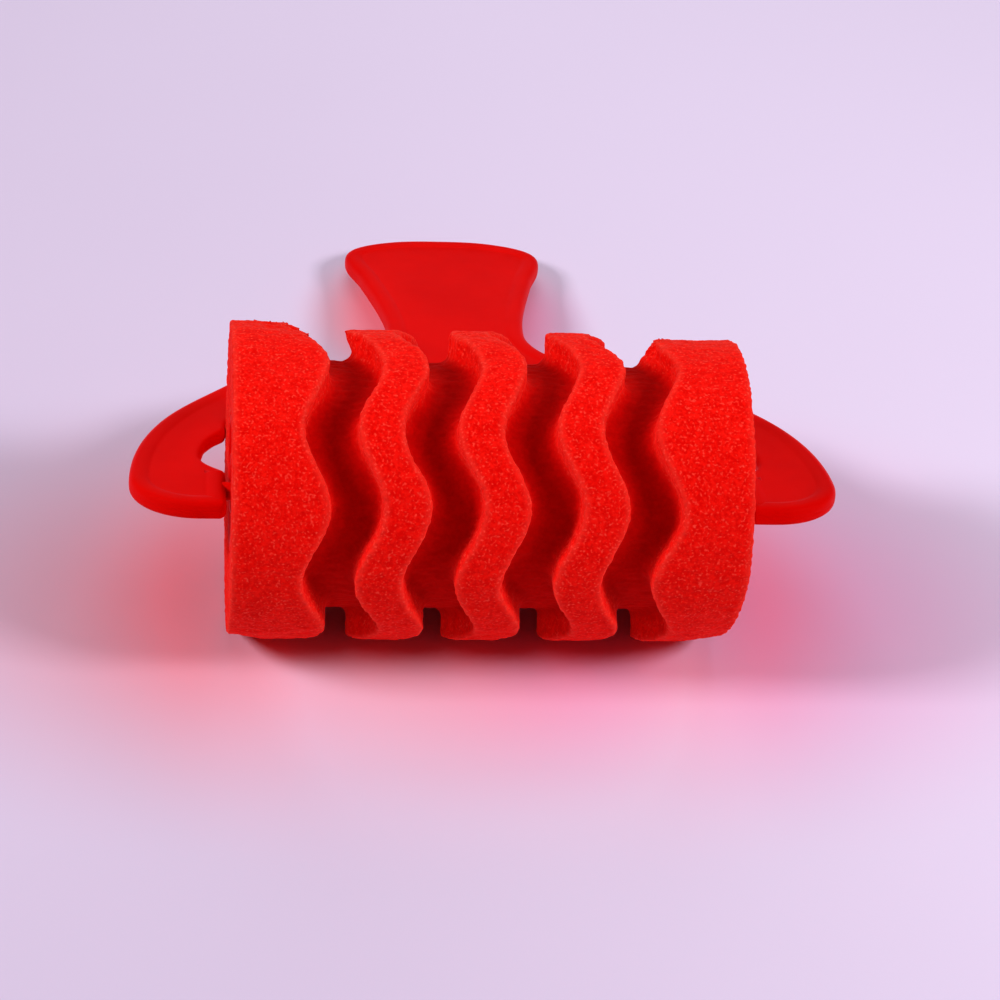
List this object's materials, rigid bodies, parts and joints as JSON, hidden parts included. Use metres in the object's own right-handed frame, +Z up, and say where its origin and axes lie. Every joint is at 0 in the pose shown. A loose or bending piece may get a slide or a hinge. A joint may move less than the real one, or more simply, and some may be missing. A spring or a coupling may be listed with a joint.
{
  "type": "pattern foam roller",
  "caption": "Hand-held craft paint roller: a foam sleeve with wavy grooves turns freely between the two curved arms of a flat handle with a flared grip.",
  "frame": {"origin": "under the middle of the tool's bounding box, on the table it rests on", "axes": "+X along the roller's axis to the right as seen from the foam end, +Y towards the end of the grip, +Z up"},
  "size_m": [0.1128, 0.128, 0.049],
  "materials": {
    "red_plastic": "satin moulded plastic",
    "red_foam": "open-cell foam, matte, with fine cut cells",
    "white_plastic": "plain extruded tube"
  },
  "bodies": {
    "handle": {"handle_frame": "red_plastic"},
    "roller": {"foam_sleeve": "red_foam", "core_tube": "white_plastic", "end_bush_left": "red_plastic", "end_bush_right": "red_plastic"}
  },
  "joints": [
    {"name": "roller_spin", "type": "hinge", "parent": "handle", "child": "roller", "pos_m": [-0.00114, -0.03953, 0.0245], "axis": [1, 0, 0], "continuous": true}
  ]
}
